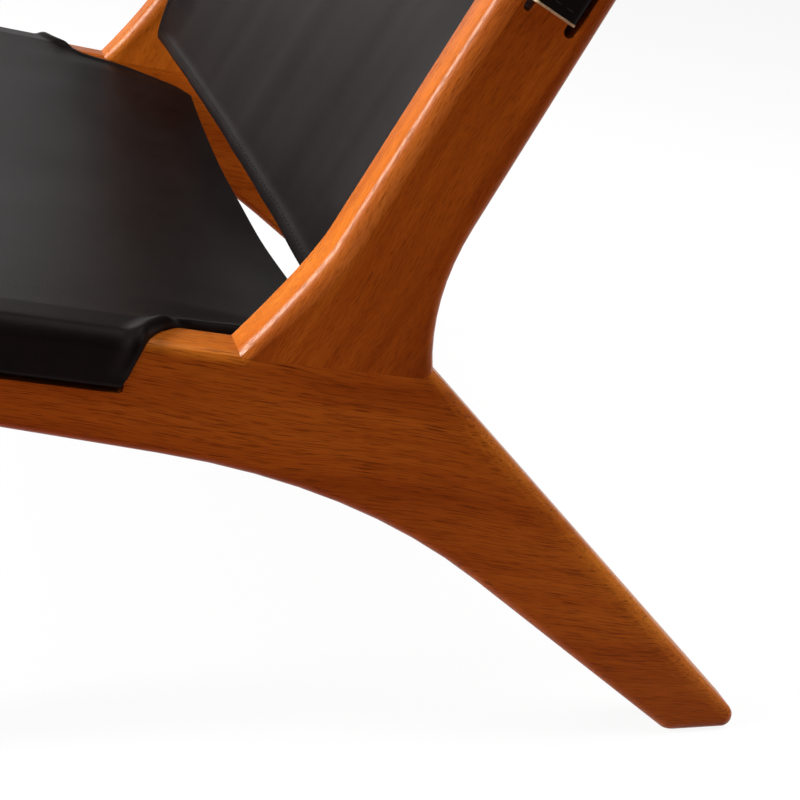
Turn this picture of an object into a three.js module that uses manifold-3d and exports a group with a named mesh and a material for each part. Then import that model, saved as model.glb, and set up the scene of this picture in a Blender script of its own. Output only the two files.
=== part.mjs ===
import * as THREE from 'three';
import { mergeVertices } from 'three/addons/utils/BufferGeometryUtils.js';
import Module from 'manifold-3d';

const wasm = await Module();
wasm.setup();

// Leather sling lounge chair. Millimetres, +Z up, the sitter faces -Y.
// The side plane is measured from the corner where a post meets the top of its rail.

// Overall sizes.
const INNER_WIDTH = 650;
const FRAME_THICK = 32;
const EDGE_ROUND = 7;
const CORNER_HEIGHT = 254;
const GAP = 0.3;

// Seat rail and the front leg under its end.
const RAIL_SLOPE = 7.5;
const RAIL_LENGTH = 450;
const RAIL_DEPTH = 64.4;
const RAIL_DEPTH_FRONT = 50;
const RAIL_UNDER_SLOPE = 10.7;
const KNEE_RUN = 80;
const RAIL_NOSE_ROUND = 16;
const FRONT_FOOT_REACH = RAIL_LENGTH + 5;
const FRONT_FOOT_LENGTH = 44;
const FRONT_LEG_WIDTH = 54;
const FRONT_JOINT_LENGTH = 110;

// Rear leg, sawn in one piece with the rail.
const LEG_TOP_BACK = 106.3;
const LEG_TOP_DROP = 9.7;
const LEG_UNDER_SLOPE = 38.3;
const TOE_BACK = 348.7;
const REAR_FOOT_LENGTH = 56.8;
const CROOK_RUN = 110;
const TOE_ROUND = EDGE_ROUND + 0.8;
const HEEL_ROUND = 14;

// Back post.
const POST_ANGLE = 63.1;
const POST_LENGTH = 505;
const POST_DEPTH_BASE = 62.2;
const POST_DEPTH_TOP = 49;
const POST_TOP_ROUND = 18;
const FLARE_OUT = 15.6;
const FLARE_RUN = 70;
const REAR_CURVE_RUN = 108.6;

// Leather, its slots and the rods in its hems.
const LEATHER = 2.8;
const REST_GAP = 0.5;
const BEND = 3;
const SLOT_HALF = 2.4;
const SLOT_PAST = 6;
const ENTRY_SLOT_HALF = 3.4;
const ROD_RADIUS = 4;
const ROD_PAST = 5;
const EDGE_CLEAR = 3;
const SEAT_SLOT_DROP = 25.5;
const SEAT_SLOT_PAST = 2.5;
const SEAT_BACK_REACH = 74;
const SEAT_FRONT = RAIL_LENGTH - 22;
const SEAT_SAG = 18.5;
const SEAT_DROOP = 7;
const SEAT_REAR_INSET = 24;
const PANEL_ROUND = 14;
const FLAP_REAR = 50;
const FLAP_FRONT = RAIL_LENGTH - 106;
const FLAP_LEAN = 0.3;
const FLAP_SWEEP = 30;
const BACK_SLOT_FRONT = 15.5;
const BACK_SLOT_REAR = 41;
const BACK_BOTTOM = 34;
const BACK_TOP = POST_LENGTH - 27;
const BACK_SAG = 8;
const STRAP_BOTTOM = 220;
const STRAP_TOP = POST_LENGTH - 85;

// Cross rails with their tenons, and the dowels in the flush joints.
const TENON_LENGTH = 18;
const TENON_SHOULDER = 5;
const STRETCHER_WIDTH = 28;
const STRETCHER_HEIGHT = 22;
const STRETCHER_ROUND = 5;
const REAR_STRETCHER_BACK = 58;
const REAR_STRETCHER_DROP = 60;
const FRONT_STRETCHER_AT = RAIL_LENGTH - 62;
const FRONT_STRETCHER_DROP = 36;
const CREST_THICK = 16;
const CREST_HEIGHT = 40;
const CREST_AT = POST_LENGTH - 45;
const CREST_DEPTH = 35;
const DOWEL_RADIUS = 4;
const DOWEL_LENGTH = 50;

const wood = new THREE.MeshStandardMaterial({ color: 0x9a5422, roughness: 0.5, metalness: 0 });
const leather = new THREE.MeshStandardMaterial({ color: 0x2b2726, roughness: 0.55, metalness: 0 });
const beech = new THREE.MeshStandardMaterial({ color: 0xc79d6b, roughness: 0.6, metalness: 0 });

const chair = new THREE.Group();
chair.name = 'leather_sling_lounge_chair';

const rad = THREE.MathUtils.degToRad;
const point = (y, z) => new THREE.Vector2(y, z);
const slope = rad(RAIL_SLOPE);
const recline = rad(POST_ANGLE);
const inside = INNER_WIDTH / 2;
const outside = inside + FRAME_THICK;

// A point of the side plane given along the rail (forward) and square to it (up).
function rail(forward, up) {
  const y = -forward * Math.cos(slope) + up * Math.sin(slope);
  const z = forward * Math.sin(slope) + up * Math.cos(slope);
  return point(y, CORNER_HEIGHT + z);
}

// A point of the side plane given along the post and behind its front face.
function post(along, depth) {
  const y = along * Math.cos(recline) + depth * Math.sin(recline);
  const z = along * Math.sin(recline) - depth * Math.cos(recline);
  return point(FLARE_OUT + y, CORNER_HEIGHT + z);
}

function postDepth(along) {
  return POST_DEPTH_BASE + (POST_DEPTH_TOP - POST_DEPTH_BASE) * along / POST_LENGTH;
}

// Where two lines of the side plane cross, each given by a point and a direction.
function meet(p, a, q, b) {
  const t = q.clone().sub(p).cross(b) / a.cross(b);
  return p.clone().addScaledVector(a, t);
}

const corner = point(0, CORNER_HEIGHT);
const crotch = point(LEG_TOP_BACK, CORNER_HEIGHT - LEG_TOP_DROP);
const toe = point(TOE_BACK, 0);
const heel = point(TOE_BACK - REAR_FOOT_LENGTH, 0);
const underLeg = point(-Math.cos(rad(LEG_UNDER_SLOPE)), Math.sin(rad(LEG_UNDER_SLOPE)));
const alongRail = rail(1, 0).sub(corner);
const alongUnder = point(-Math.cos(rad(RAIL_UNDER_SLOPE)), Math.sin(rad(RAIL_UNDER_SLOPE)));
const underCorner = corner.clone().add(point(-alongUnder.y, alongUnder.x).multiplyScalar(RAIL_DEPTH));
const crook = meet(underCorner, alongUnder, heel, underLeg);
const knee = meet(underCorner, alongUnder, rail(0, -RAIL_DEPTH_FRONT), alongRail);
const frontFoot = point(-FRONT_FOOT_REACH, 0);
const frontHeel = point(-FRONT_FOOT_REACH + FRONT_FOOT_LENGTH, 0);
const legCorner = rail(RAIL_LENGTH - FRONT_JOINT_LENGTH, -RAIL_DEPTH_FRONT);
const railNose = rail(RAIL_LENGTH, 0);

// The inner edge of the front leg at a share of the joint's height.
function frontLegEdge(share) {
  const z = legCorner.y * share;
  const front = frontFoot.clone().lerp(railNose, z / railNose.y);
  return point(front.x + FRONT_LEG_WIDTH, z);
}

// Rounds one corner of an outline with an arc.
function roundCorner(shape, before, at, after, radius) {
  const a = before.clone().sub(at).normalize();
  const b = after.clone().sub(at).normalize();
  const half = Math.acos(a.dot(b)) / 2;
  const reach = radius / Math.tan(half);
  const middle = a.clone().add(b).normalize();
  const centre = at.clone().addScaledVector(middle, radius / Math.sin(half));
  const start = at.clone().addScaledVector(a, reach).sub(centre).angle();
  const end = at.clone().addScaledVector(b, reach).sub(centre).angle();
  shape.absarc(centre.x, centre.y, radius, start, end, a.cross(b) > 0);
}

// The whole side frame in one outline: rail, front leg, rear leg and post.
function sideOutline() {
  const shape = new THREE.Shape();
  const footRound = EDGE_ROUND + 1;
  const topFront = post(POST_LENGTH, 0);
  const topRear = post(POST_LENGTH, POST_DEPTH_TOP);
  shape.moveTo(corner.x, corner.y);
  roundCorner(shape, corner, railNose, frontFoot, RAIL_NOSE_ROUND);
  roundCorner(shape, railNose, frontFoot, frontHeel, footRound);
  const legRise = frontLegEdge(0.75);
  roundCorner(shape, frontFoot, frontHeel, legRise, footRound);
  shape.lineTo(legRise.x, legRise.y);
  const legBend = frontLegEdge(0.87);
  shape.quadraticCurveTo(legBend.x, legBend.y, legCorner.x, legCorner.y);
  const kneeStart = knee.clone().addScaledVector(alongRail, KNEE_RUN);
  const kneeEnd = knee.clone().addScaledVector(alongUnder, -KNEE_RUN);
  shape.lineTo(kneeStart.x, kneeStart.y);
  shape.quadraticCurveTo(knee.x, knee.y, kneeEnd.x, kneeEnd.y);
  const bendStart = crook.clone().addScaledVector(alongUnder, CROOK_RUN);
  const bendEnd = crook.clone().addScaledVector(underLeg, -CROOK_RUN * 0.91);
  shape.lineTo(bendStart.x, bendStart.y);
  shape.quadraticCurveTo(crook.x, crook.y, bendEnd.x, bendEnd.y);
  roundCorner(shape, bendEnd, heel, toe, HEEL_ROUND);
  roundCorner(shape, heel, toe, crotch, TOE_ROUND);
  shape.lineTo(crotch.x, crotch.y);
  const rearBend = post(REAR_CURVE_RUN * 0.607, postDepth(REAR_CURVE_RUN * 0.607));
  const rearEnd = post(REAR_CURVE_RUN, postDepth(REAR_CURVE_RUN));
  shape.quadraticCurveTo(rearBend.x, rearBend.y, rearEnd.x, rearEnd.y);
  roundCorner(shape, rearEnd, topRear, topFront, POST_TOP_ROUND);
  const flareTop = post(FLARE_RUN, 0);
  roundCorner(shape, topRear, topFront, flareTop, POST_TOP_ROUND);
  shape.lineTo(flareTop.x, flareTop.y);
  const flareBend = post(FLARE_RUN * 0.7, 0);
  shape.quadraticCurveTo(flareBend.x, flareBend.y, corner.x, corner.y);
  return shape;
}

const X = new THREE.Vector3(1, 0, 0);
const inPlane = (v) => new THREE.Vector3(0, v.x, v.y);
const railForward = inPlane(alongRail);
const railUp = inPlane(rail(0, 1).sub(corner));
const postUp = inPlane(post(1, 0).sub(post(0, 0)));
const postBack = inPlane(post(0, 1).sub(post(0, 0)));
const Y = new THREE.Vector3(0, 1, 0);
const Z = new THREE.Vector3(0, 0, 1);

// Drawn in the side plane and pushed out along X.
const sideways = new THREE.Matrix4().makeBasis(Y, Z, X);
// Drawn across the rails and pushed out forward.
const acrossRails = new THREE.Matrix4().makeBasis(X, railUp, railForward).setPosition(inPlane(corner));
// Drawn across the posts and pushed out upward.
const acrossPosts = new THREE.Matrix4().makeBasis(X, postBack, postUp).setPosition(inPlane(post(0, 0)));

// Turns a closed geometry into a solid for cutting and joining.
function solid(geometry) {
  geometry.deleteAttribute('normal');
  geometry.deleteAttribute('uv');
  const merged = mergeVertices(geometry);
  return new wasm.Manifold(new wasm.Mesh({
    numProp: 3,
    vertProperties: new Float32Array(merged.attributes.position.array),
    triVerts: new Uint32Array(merged.index.array),
  }));
}

// Pushes an outline out from one depth to another and places it.
function push(shape, from, to, place, segments = 6) {
  const options = { depth: to - from, bevelEnabled: false, curveSegments: segments };
  const geometry = new THREE.ExtrudeGeometry(shape, options);
  geometry.translate(0, 0, from);
  geometry.applyMatrix4(place);
  return solid(geometry);
}

function polygon(points) {
  return new THREE.Shape(points);
}

function piece(name, body, material) {
  const mesh = body.getMesh();
  const geometry = new THREE.BufferGeometry();
  geometry.setAttribute('position', new THREE.BufferAttribute(mesh.vertProperties, 3));
  geometry.setIndex(new THREE.BufferAttribute(mesh.triVerts, 1));
  geometry.computeVertexNormals();
  const part = new THREE.Mesh(geometry, material);
  part.name = name;
  chair.add(part);
}

// The near end of a frame's thickness on one side of the chair.
const frameStart = (side) => (side > 0 ? inside : -outside);

// One side frame with rounded edges, before it is cut into its pieces.
function sideFrame(side) {
  const geometry = new THREE.ExtrudeGeometry(sideOutline(), {
    depth: FRAME_THICK - 2 * EDGE_ROUND,
    bevelThickness: EDGE_ROUND,
    bevelSize: EDGE_ROUND,
    bevelOffset: -EDGE_ROUND,
    bevelSegments: 4,
    curveSegments: 8,
  });
  geometry.translate(0, 0, frameStart(side) + EDGE_ROUND);
  geometry.applyMatrix4(sideways);
  return solid(geometry);
}

// The valley of a concave corner, as deep as the rounded edge.
function valley(at, one, other) {
  const a = one.clone().sub(at).normalize();
  const b = other.clone().sub(at).normalize();
  const half = Math.acos(a.dot(b)) / 2;
  const inward = a.add(b).normalize();
  return at.clone().addScaledVector(inward, -EDGE_ROUND / Math.sin(half));
}

const flareControl = post(FLARE_RUN * 0.7, 0);
const rearControl = post(REAR_CURVE_RUN * 0.607, postDepth(REAR_CURVE_RUN * 0.607));
const jointFront = corner.clone().lerp(valley(corner, railNose, flareControl), 0.3);
const jointRear = valley(crotch, toe, rearControl);
const legJoint = valley(legCorner, knee, frontLegEdge(0.87));
const legJointFront = legJoint.clone().addScaledVector(alongRail, FRONT_JOINT_LENGTH * 1.5);

// The space of a post above its flush joint, moved clear of the joint by a small step.
function postSpace(side, step) {
  const shape = polygon([
    point(corner.x - CORNER_HEIGHT, corner.y + 2 * POST_LENGTH),
    point(corner.x + step, corner.y + step),
    point(jointFront.x + step, jointFront.y + step),
    point(jointRear.x - step, jointRear.y + step),
    point(crotch.x - step, crotch.y + step),
    point(crotch.x + POST_LENGTH, crotch.y + POST_LENGTH),
    point(crotch.x + POST_LENGTH, corner.y + 2 * POST_LENGTH),
  ]);
  return push(shape, frameStart(side) - 1, frameStart(side) + FRAME_THICK + 1, sideways);
}

// The space of a front leg below its flush joint.
function frontLegSpace(side, step) {
  const shape = polygon([
    point(legCorner.x - step, legCorner.y - step),
    point(legJoint.x - step, legJoint.y - step),
    point(legJointFront.x, legJointFront.y - step),
    point(legJointFront.x, -CORNER_HEIGHT),
    point(legCorner.x + CORNER_HEIGHT / 4, -CORNER_HEIGHT),
  ]);
  return push(shape, frameStart(side) - 1, frameStart(side) + FRAME_THICK + 1, sideways);
}

// A slot with round ends, cut right through a side frame.
function slot(side, from, to, half) {
  const way = to.clone().sub(from).angle();
  const shape = new THREE.Shape();
  shape.absarc(to.x, to.y, half, way - Math.PI / 2, way + Math.PI / 2, false);
  shape.absarc(from.x, from.y, half, way + Math.PI / 2, way + 1.5 * Math.PI, false);
  return push(shape, frameStart(side) - 1, frameStart(side) + FRAME_THICK + 1, sideways, 4);
}

const flapAtSlot = FLAP_LEAN * SEAT_SLOT_DROP;
const hemRear = FLAP_REAR + flapAtSlot;
const hemFront = FLAP_FRONT - flapAtSlot;

function seatSlot(side) {
  const level = -SEAT_SLOT_DROP - ENTRY_SLOT_HALF + SLOT_HALF;
  const rear = rail(hemRear - SEAT_SLOT_PAST + ENTRY_SLOT_HALF, level);
  const front = rail(hemFront + SEAT_SLOT_PAST - ENTRY_SLOT_HALF, level);
  return slot(side, rear, front, ENTRY_SLOT_HALF);
}

const backEntryDepth = BACK_SLOT_REAR + ENTRY_SLOT_HALF - SLOT_HALF;

function backSlot(side, depth, half) {
  const bottom = post(STRAP_BOTTOM - SLOT_PAST + half, depth);
  const top = post(STRAP_TOP + SLOT_PAST - half, depth);
  return slot(side, bottom, top, half);
}

// A round bar in the side plane from one point to another, at a given X.
function sideRod(x, from, to, radius, segments = 20) {
  const way = to.clone().sub(from);
  const length = way.length();
  const axis = inPlane(way.normalize());
  const geometry = new THREE.CylinderGeometry(radius, radius, length, segments);
  const place = new THREE.Matrix4().makeBasis(X, axis, X.clone().cross(axis));
  place.setPosition(inPlane(from.clone().add(to).multiplyScalar(0.5)).setX(x));
  geometry.applyMatrix4(place);
  return solid(geometry);
}

// Dowel ends for a share along a joint, square to the joint line.
function dowelEnds(start, end, share, up, extra) {
  const way = end.clone().sub(start).normalize();
  const normal = point(-way.y, way.x);
  if (normal.y < 0) normal.negate();
  const at = start.clone().lerp(end, share);
  const top = at.clone().addScaledVector(normal, up + extra);
  const bottom = at.clone().addScaledVector(normal, up - DOWEL_LENGTH - extra);
  return [bottom, top];
}

const postDowels = [0.28, 0.74];
const legDowels = [0.24, 0.66];
const postDowel = (share, extra) => dowelEnds(jointFront, jointRear, share, DOWEL_LENGTH / 2, extra);
const legJointEnd = legJoint.clone().addScaledVector(alongRail, FRONT_JOINT_LENGTH);
const legDowel = (share, extra) => dowelEnds(legJoint, legJointEnd, share, DOWEL_LENGTH * 0.4, extra);

// A rectangle with rounded corners about the origin.
function roundedBar(width, height, radius) {
  const w = width / 2;
  const h = height / 2;
  const corners = [point(-w, -h), point(w, -h), point(w, h), point(-w, h)];
  const shape = new THREE.Shape();
  corners.forEach((at, i) => {
    roundCorner(shape, corners[(i + 3) % 4], at, corners[(i + 1) % 4], radius);
  });
  return shape;
}

// The places of the cross rails: outline axes in the side plane, then X.
function barPlace(at, across) {
  const up = X.clone().cross(across);
  return new THREE.Matrix4().makeBasis(across, up, X).setPosition(inPlane(at));
}

const rearStretcherAt = point(REAR_STRETCHER_BACK, CORNER_HEIGHT - REAR_STRETCHER_DROP);
const rearStretcherPlace = barPlace(rearStretcherAt, railForward.clone().negate());
const frontStretcherAt = rail(FRONT_STRETCHER_AT, -FRONT_STRETCHER_DROP);
const frontStretcherPlace = barPlace(frontStretcherAt, railForward.clone().negate());
const crestPlace = barPlace(post(CREST_AT, CREST_DEPTH), postBack);

// The tenon of a cross rail, or its mortise with clearance all round.
function tenon(width, height, place, side, clear) {
  const w = width / 2 - TENON_SHOULDER + clear;
  const h = height / 2 - TENON_SHOULDER + clear;
  const shape = polygon([point(-w, -h), point(w, -h), point(w, h), point(-w, h)]);
  const root = inside - 2;
  const tip = inside + TENON_LENGTH + clear;
  const from = side > 0 ? root : -tip;
  const to = side > 0 ? tip : -root;
  return push(shape, from, to, place);
}

function crossRail(name, width, height, place) {
  const shape = roundedBar(width, height, STRETCHER_ROUND);
  let body = push(shape, -inside + GAP, inside - GAP, place, 3);
  body = body.add(tenon(width, height, place, 1, 0));
  body = body.add(tenon(width, height, place, -1, 0));
  piece(name, body, wood);
}

function stretcherMortise(place, side) {
  return tenon(STRETCHER_WIDTH, STRETCHER_HEIGHT, place, side, GAP);
}

// Cuts one side frame into its post, its rail with the rear leg, and its front leg.
function makeSide(side, label) {
  const middle = side * (inside + FRAME_THICK / 2);
  const half = GAP / 2;
  let frame = sideFrame(side);
  frame = frame.subtract(seatSlot(side));
  frame = frame.subtract(backSlot(side, BACK_SLOT_FRONT, SLOT_HALF));
  frame = frame.subtract(backSlot(side, backEntryDepth, ENTRY_SLOT_HALF));
  frame = frame.subtract(stretcherMortise(rearStretcherPlace, side));
  frame = frame.subtract(stretcherMortise(frontStretcherPlace, side));
  frame = frame.subtract(tenon(CREST_THICK, CREST_HEIGHT, crestPlace, side, GAP));
  for (const share of postDowels) {
    const [a, b] = postDowel(share, GAP);
    frame = frame.subtract(sideRod(middle, a, b, DOWEL_RADIUS + GAP));
  }
  for (const share of legDowels) {
    const [a, b] = legDowel(share, GAP);
    frame = frame.subtract(sideRod(middle, a, b, DOWEL_RADIUS + GAP));
  }
  const railLeg = frame.subtract(postSpace(side, -half)).subtract(frontLegSpace(side, -half));
  piece(`post_${label}`, frame.intersect(postSpace(side, half)), wood);
  piece(`rail_leg_${label}`, railLeg, wood);
  piece(`front_leg_${label}`, frame.intersect(frontLegSpace(side, half)), wood);
  postDowels.forEach((share, i) => {
    const [a, b] = postDowel(share, 0);
    piece(`post_dowel_${label}_${i + 1}`, sideRod(middle, a, b, DOWEL_RADIUS), beech);
  });
  legDowels.forEach((share, i) => {
    const [a, b] = legDowel(share, 0);
    piece(`leg_dowel_${label}_${i + 1}`, sideRod(middle, a, b, DOWEL_RADIUS), beech);
  });
}

const hemInner = ROD_RADIUS + GAP;
const hemOuter = hemInner + LEATHER;
const hemX = inside - 2 * GAP - hemOuter;
const faceX = outside + REST_GAP + LEATHER / 2;

// A leather strip of even thickness along a mid line, mirrored about the chair's middle.
function strip(halfLine) {
  const mirrored = halfLine.slice(0, -1).reverse().map((p) => point(-p.x, p.y));
  const line = halfLine.concat(mirrored);
  const left = [];
  const right = [];
  line.forEach((p, i) => {
    const before = line[Math.max(i - 1, 0)];
    const after = line[Math.min(i + 1, line.length - 1)];
    const way = after.clone().sub(before).normalize();
    const out = point(-way.y, way.x).multiplyScalar(LEATHER / 2);
    left.push(p.clone().add(out));
    right.push(p.clone().sub(out));
  });
  return polygon(left.concat(right.reverse()));
}

// Points of a path, with the doubled points at its joins taken out.
function pathPoints(path, segments) {
  const all = path.getPoints(segments);
  return all.filter((p, i) => i === 0 || p.distanceTo(all[i - 1]) > 0.01);
}

// Half of the seat sling's mid line: hem, slot, outer face, rail top, then the sag to the middle.
function seatLine() {
  const turn = EDGE_ROUND + REST_GAP + LEATHER / 2;
  const droop = Math.atan(2 * SEAT_SAG / inside);
  const tangent = inside + EDGE_ROUND - turn * Math.sin(droop);
  const level = -EDGE_ROUND + turn * Math.cos(droop);
  const path = new THREE.Path();
  path.moveTo(hemX + hemInner + LEATHER / 2, -SEAT_SLOT_DROP);
  path.lineTo(faceX - BEND, -SEAT_SLOT_DROP);
  path.absarc(faceX - BEND, -SEAT_SLOT_DROP + BEND, BEND, -Math.PI / 2, 0, false);
  path.absarc(outside - EDGE_ROUND, -EDGE_ROUND, turn, 0, Math.PI / 2, false);
  path.absarc(inside + EDGE_ROUND, -EDGE_ROUND, turn, Math.PI / 2, Math.PI / 2 + droop, false);
  const points = pathPoints(path, 3);
  for (let i = 1; i <= 8; i += 1) {
    const x = tangent * (1 - i / 8);
    points.push(point(x, level - SEAT_SAG * (1 - (x / tangent) ** 2)));
  }
  return points;
}

// Half of the back sling's mid line: hem, rear slot, outer face, front slot, then the hollow.
function backLine() {
  const path = new THREE.Path();
  const flat = faceX - BEND;
  path.moveTo(hemX + hemInner + LEATHER / 2, BACK_SLOT_REAR);
  path.lineTo(flat, BACK_SLOT_REAR);
  path.absarc(flat, BACK_SLOT_REAR - BEND, BEND, Math.PI / 2, 0, true);
  path.absarc(flat, BACK_SLOT_FRONT + BEND, BEND, 0, -Math.PI / 2, true);
  path.lineTo(inside, BACK_SLOT_FRONT);
  const points = pathPoints(path, 4);
  for (let i = 1; i <= 10; i += 1) {
    const x = inside * (1 - i / 10);
    points.push(point(x, BACK_SLOT_FRONT + BACK_SAG * (1 - (x / inside) ** 2)));
  }
  return points;
}

// The hem of a sling around its rod.
function hem(side, level, from, to, place) {
  const shape = new THREE.Shape();
  shape.absarc(side * hemX, level, hemOuter, 0, 2 * Math.PI, false);
  const hole = new THREE.Path();
  hole.absarc(side * hemX, level, hemInner, 0, 2 * Math.PI, true);
  shape.holes.push(hole);
  return push(shape, from, to, place, 10);
}

// Both slings are drawn flat from above, X across and the sling's length along Y.
// This is all that lies outside one end of a sling: the notch beside the panel and its edge.
function outsideEnd(edge, inset, wrapEnd, wrapIn, away) {
  const panel = inside - EDGE_CLEAR;
  const far = 2 * outside;
  const beyond = edge + away * far;
  const corners = [point(panel - inset, edge), point(inset - panel, edge)];
  const starts = [point(panel, wrapIn), point(-panel, wrapIn)];
  const shape = new THREE.Shape();
  shape.moveTo(far, wrapEnd);
  shape.lineTo(outside, wrapEnd);
  shape.quadraticCurveTo(panel, wrapEnd, starts[0].x, starts[0].y);
  roundCorner(shape, starts[0], corners[0], corners[1], PANEL_ROUND);
  roundCorner(shape, corners[0], corners[1], starts[1], PANEL_ROUND);
  shape.lineTo(starts[1].x, starts[1].y);
  shape.quadraticCurveTo(-panel, wrapEnd, -outside, wrapEnd);
  shape.lineTo(-far, wrapEnd);
  shape.lineTo(-far, beyond);
  shape.lineTo(far, beyond);
  return shape;
}

// A box under one side of a panel, to take away what goes into the slot past the wrap.
function underPanel(side, near, far, from, to, place) {
  const x = side * (hemX - 2 * hemOuter);
  const out = side * 2 * outside;
  return push(polygon([point(x, near), point(out, near), point(out, far), point(x, far)]), from, to, place);
}

// The seat strip pushed out along the rails, drooping where it runs on past the wrap.
function seatPanel() {
  const long = SEAT_FRONT + SEAT_BACK_REACH;
  const options = { depth: long, steps: 7, bevelEnabled: false };
  const geometry = new THREE.ExtrudeGeometry(strip(seatLine()), options);
  geometry.translate(0, 0, -SEAT_BACK_REACH);
  const position = geometry.attributes.position;
  for (let i = 0; i < position.count; i += 1) {
    const at = position.getZ(i);
    const past = Math.max(FLAP_REAR - at, at - FLAP_FRONT, 0);
    const share = past / (FLAP_REAR + SEAT_BACK_REACH);
    position.setY(i, position.getY(i) - SEAT_DROOP * share ** 2);
  }
  geometry.applyMatrix4(acrossRails);
  return solid(geometry);
}

function seatSling() {
  const deep = 3 * SEAT_SLOT_DROP;
  const long = SEAT_FRONT + SEAT_BACK_REACH;
  let body = seatPanel();
  const down = railUp.clone().negate();
  const rearDown = down.clone().addScaledVector(railForward, FLAP_LEAN);
  const frontDown = down.clone().addScaledVector(railForward, -FLAP_LEAN);
  const rearPlace = new THREE.Matrix4().makeBasis(X, railForward, rearDown).setPosition(inPlane(corner));
  const frontPlace = new THREE.Matrix4().makeBasis(X, railForward, frontDown).setPosition(inPlane(corner));
  for (const side of [1, -1]) {
    const low = -SEAT_SLOT_DROP + LEATHER;
    body = body.subtract(underPanel(side, low, -deep, -long, hemRear, acrossRails));
    body = body.subtract(underPanel(side, low, -deep, hemFront, long, acrossRails));
    body = body.add(hem(side, -SEAT_SLOT_DROP, hemRear, hemFront, acrossRails));
  }
  const rear = outsideEnd(-SEAT_BACK_REACH, SEAT_REAR_INSET, FLAP_REAR, FLAP_REAR - FLAP_SWEEP, -1);
  const front = outsideEnd(SEAT_FRONT, 0, FLAP_FRONT, FLAP_FRONT + FLAP_SWEEP, 1);
  body = body.subtract(push(rear, -deep, deep, rearPlace, 8));
  body = body.subtract(push(front, -deep, deep, frontPlace, 8));
  piece('seat_leather', body, leather);
}

function backSling() {
  const deep = 2 * BACK_SLOT_REAR;
  const front = postBack.clone().negate();
  const place = new THREE.Matrix4().makeBasis(X, postUp, front).setPosition(inPlane(post(0, 0)));
  let body = push(strip(backLine()), BACK_BOTTOM, BACK_TOP, acrossPosts);
  const under = (BACK_SLOT_FRONT + BACK_SLOT_REAR) / 2;
  for (const side of [1, -1]) {
    body = body.subtract(underPanel(side, under, deep, 0, STRAP_BOTTOM, acrossPosts));
    body = body.subtract(underPanel(side, under, deep, STRAP_TOP, 2 * BACK_TOP, acrossPosts));
    body = body.add(hem(side, BACK_SLOT_REAR, STRAP_BOTTOM, STRAP_TOP, acrossPosts));
  }
  const bottom = outsideEnd(BACK_BOTTOM, 0, STRAP_BOTTOM, STRAP_BOTTOM - BEND, -1);
  const top = outsideEnd(BACK_TOP, 0, STRAP_TOP, STRAP_TOP + BEND, 1);
  body = body.subtract(push(bottom, -deep, deep, place, 8));
  body = body.subtract(push(top, -deep, deep, place, 8));
  piece('back_leather', body, leather);
}

function hemRods(side, label) {
  const seatFrom = rail(hemRear - ROD_PAST, -SEAT_SLOT_DROP);
  const seatTo = rail(hemFront + ROD_PAST, -SEAT_SLOT_DROP);
  piece(`seat_rod_${label}`, sideRod(side * hemX, seatFrom, seatTo, ROD_RADIUS, 16), beech);
  const backFrom = post(STRAP_BOTTOM - ROD_PAST, BACK_SLOT_REAR);
  const backTo = post(STRAP_TOP + ROD_PAST, BACK_SLOT_REAR);
  piece(`back_rod_${label}`, sideRod(side * hemX, backFrom, backTo, ROD_RADIUS, 16), beech);
}

makeSide(1, 'left');
makeSide(-1, 'right');
crossRail('front_stretcher', STRETCHER_WIDTH, STRETCHER_HEIGHT, frontStretcherPlace);
crossRail('rear_stretcher', STRETCHER_WIDTH, STRETCHER_HEIGHT, rearStretcherPlace);
crossRail('crest_rail', CREST_THICK, CREST_HEIGHT, crestPlace);
seatSling();
backSling();
hemRods(1, 'left');
hemRods(-1, 'right');

// The middle of the chair's length goes to Y = 0.
const bounds = new THREE.Box3().setFromObject(chair);
const shift = -(bounds.min.y + bounds.max.y) / 2;
chair.children.forEach((mesh) => mesh.geometry.translate(0, shift, 0));

export default chair;
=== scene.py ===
import math

import bmesh
import bpy
from mathutils import Matrix, Vector, noise
from mathutils.bvhtree import BVHTree


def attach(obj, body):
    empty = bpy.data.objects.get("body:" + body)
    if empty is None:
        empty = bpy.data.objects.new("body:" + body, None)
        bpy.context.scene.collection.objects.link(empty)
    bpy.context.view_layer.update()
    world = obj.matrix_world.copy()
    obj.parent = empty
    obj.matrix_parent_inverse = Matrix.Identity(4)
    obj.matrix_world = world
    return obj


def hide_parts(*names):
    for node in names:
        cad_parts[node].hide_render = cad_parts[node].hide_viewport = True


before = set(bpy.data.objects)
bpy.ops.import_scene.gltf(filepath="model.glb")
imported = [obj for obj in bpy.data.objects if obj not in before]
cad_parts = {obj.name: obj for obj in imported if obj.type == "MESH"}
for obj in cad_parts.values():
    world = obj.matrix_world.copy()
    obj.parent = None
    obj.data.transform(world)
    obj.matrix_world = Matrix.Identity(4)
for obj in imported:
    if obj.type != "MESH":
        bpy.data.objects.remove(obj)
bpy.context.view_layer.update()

# Sizes of the chair, in metres, as in the solids.
CORNER_HEIGHT = 0.254
CORNER_BACK = 0.0585
FLARE_OUT = 0.0156
RAIL_SLOPE = math.radians(7.5)
POST_ANGLE = math.radians(63.1)
INSIDE = 0.325
OUTSIDE = 0.357
EDGE_ROUND = 0.007
MIDDLE_X = (INSIDE + OUTSIDE) / 2
HALF_THICK = (OUTSIDE - INSIDE) / 2

# The leather and how it goes round the frame.
LEATHER = 0.0028
REST_GAP = 0.0005
BEND = 0.003
ROD_LOOP = 0.0057
HEM_X = 0.3173
HEM_FIRST = 70
HEM_LAST = 345
HEM_STEPS = 6
HEM_TURN_STEPS = 26
SLOT_EXIT = 0.003
FACE_X = OUTSIDE + REST_GAP + LEATHER / 2
PANEL = 0.3232
PANEL_END = PANEL + 0.001
PANEL_ROUND = 0.014
PANEL_STEPS = 48
SOFT_EDGE = 0.0012
SOFT_ANGLE = math.radians(55)
SLOPE_STEP = 0.001

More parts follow.
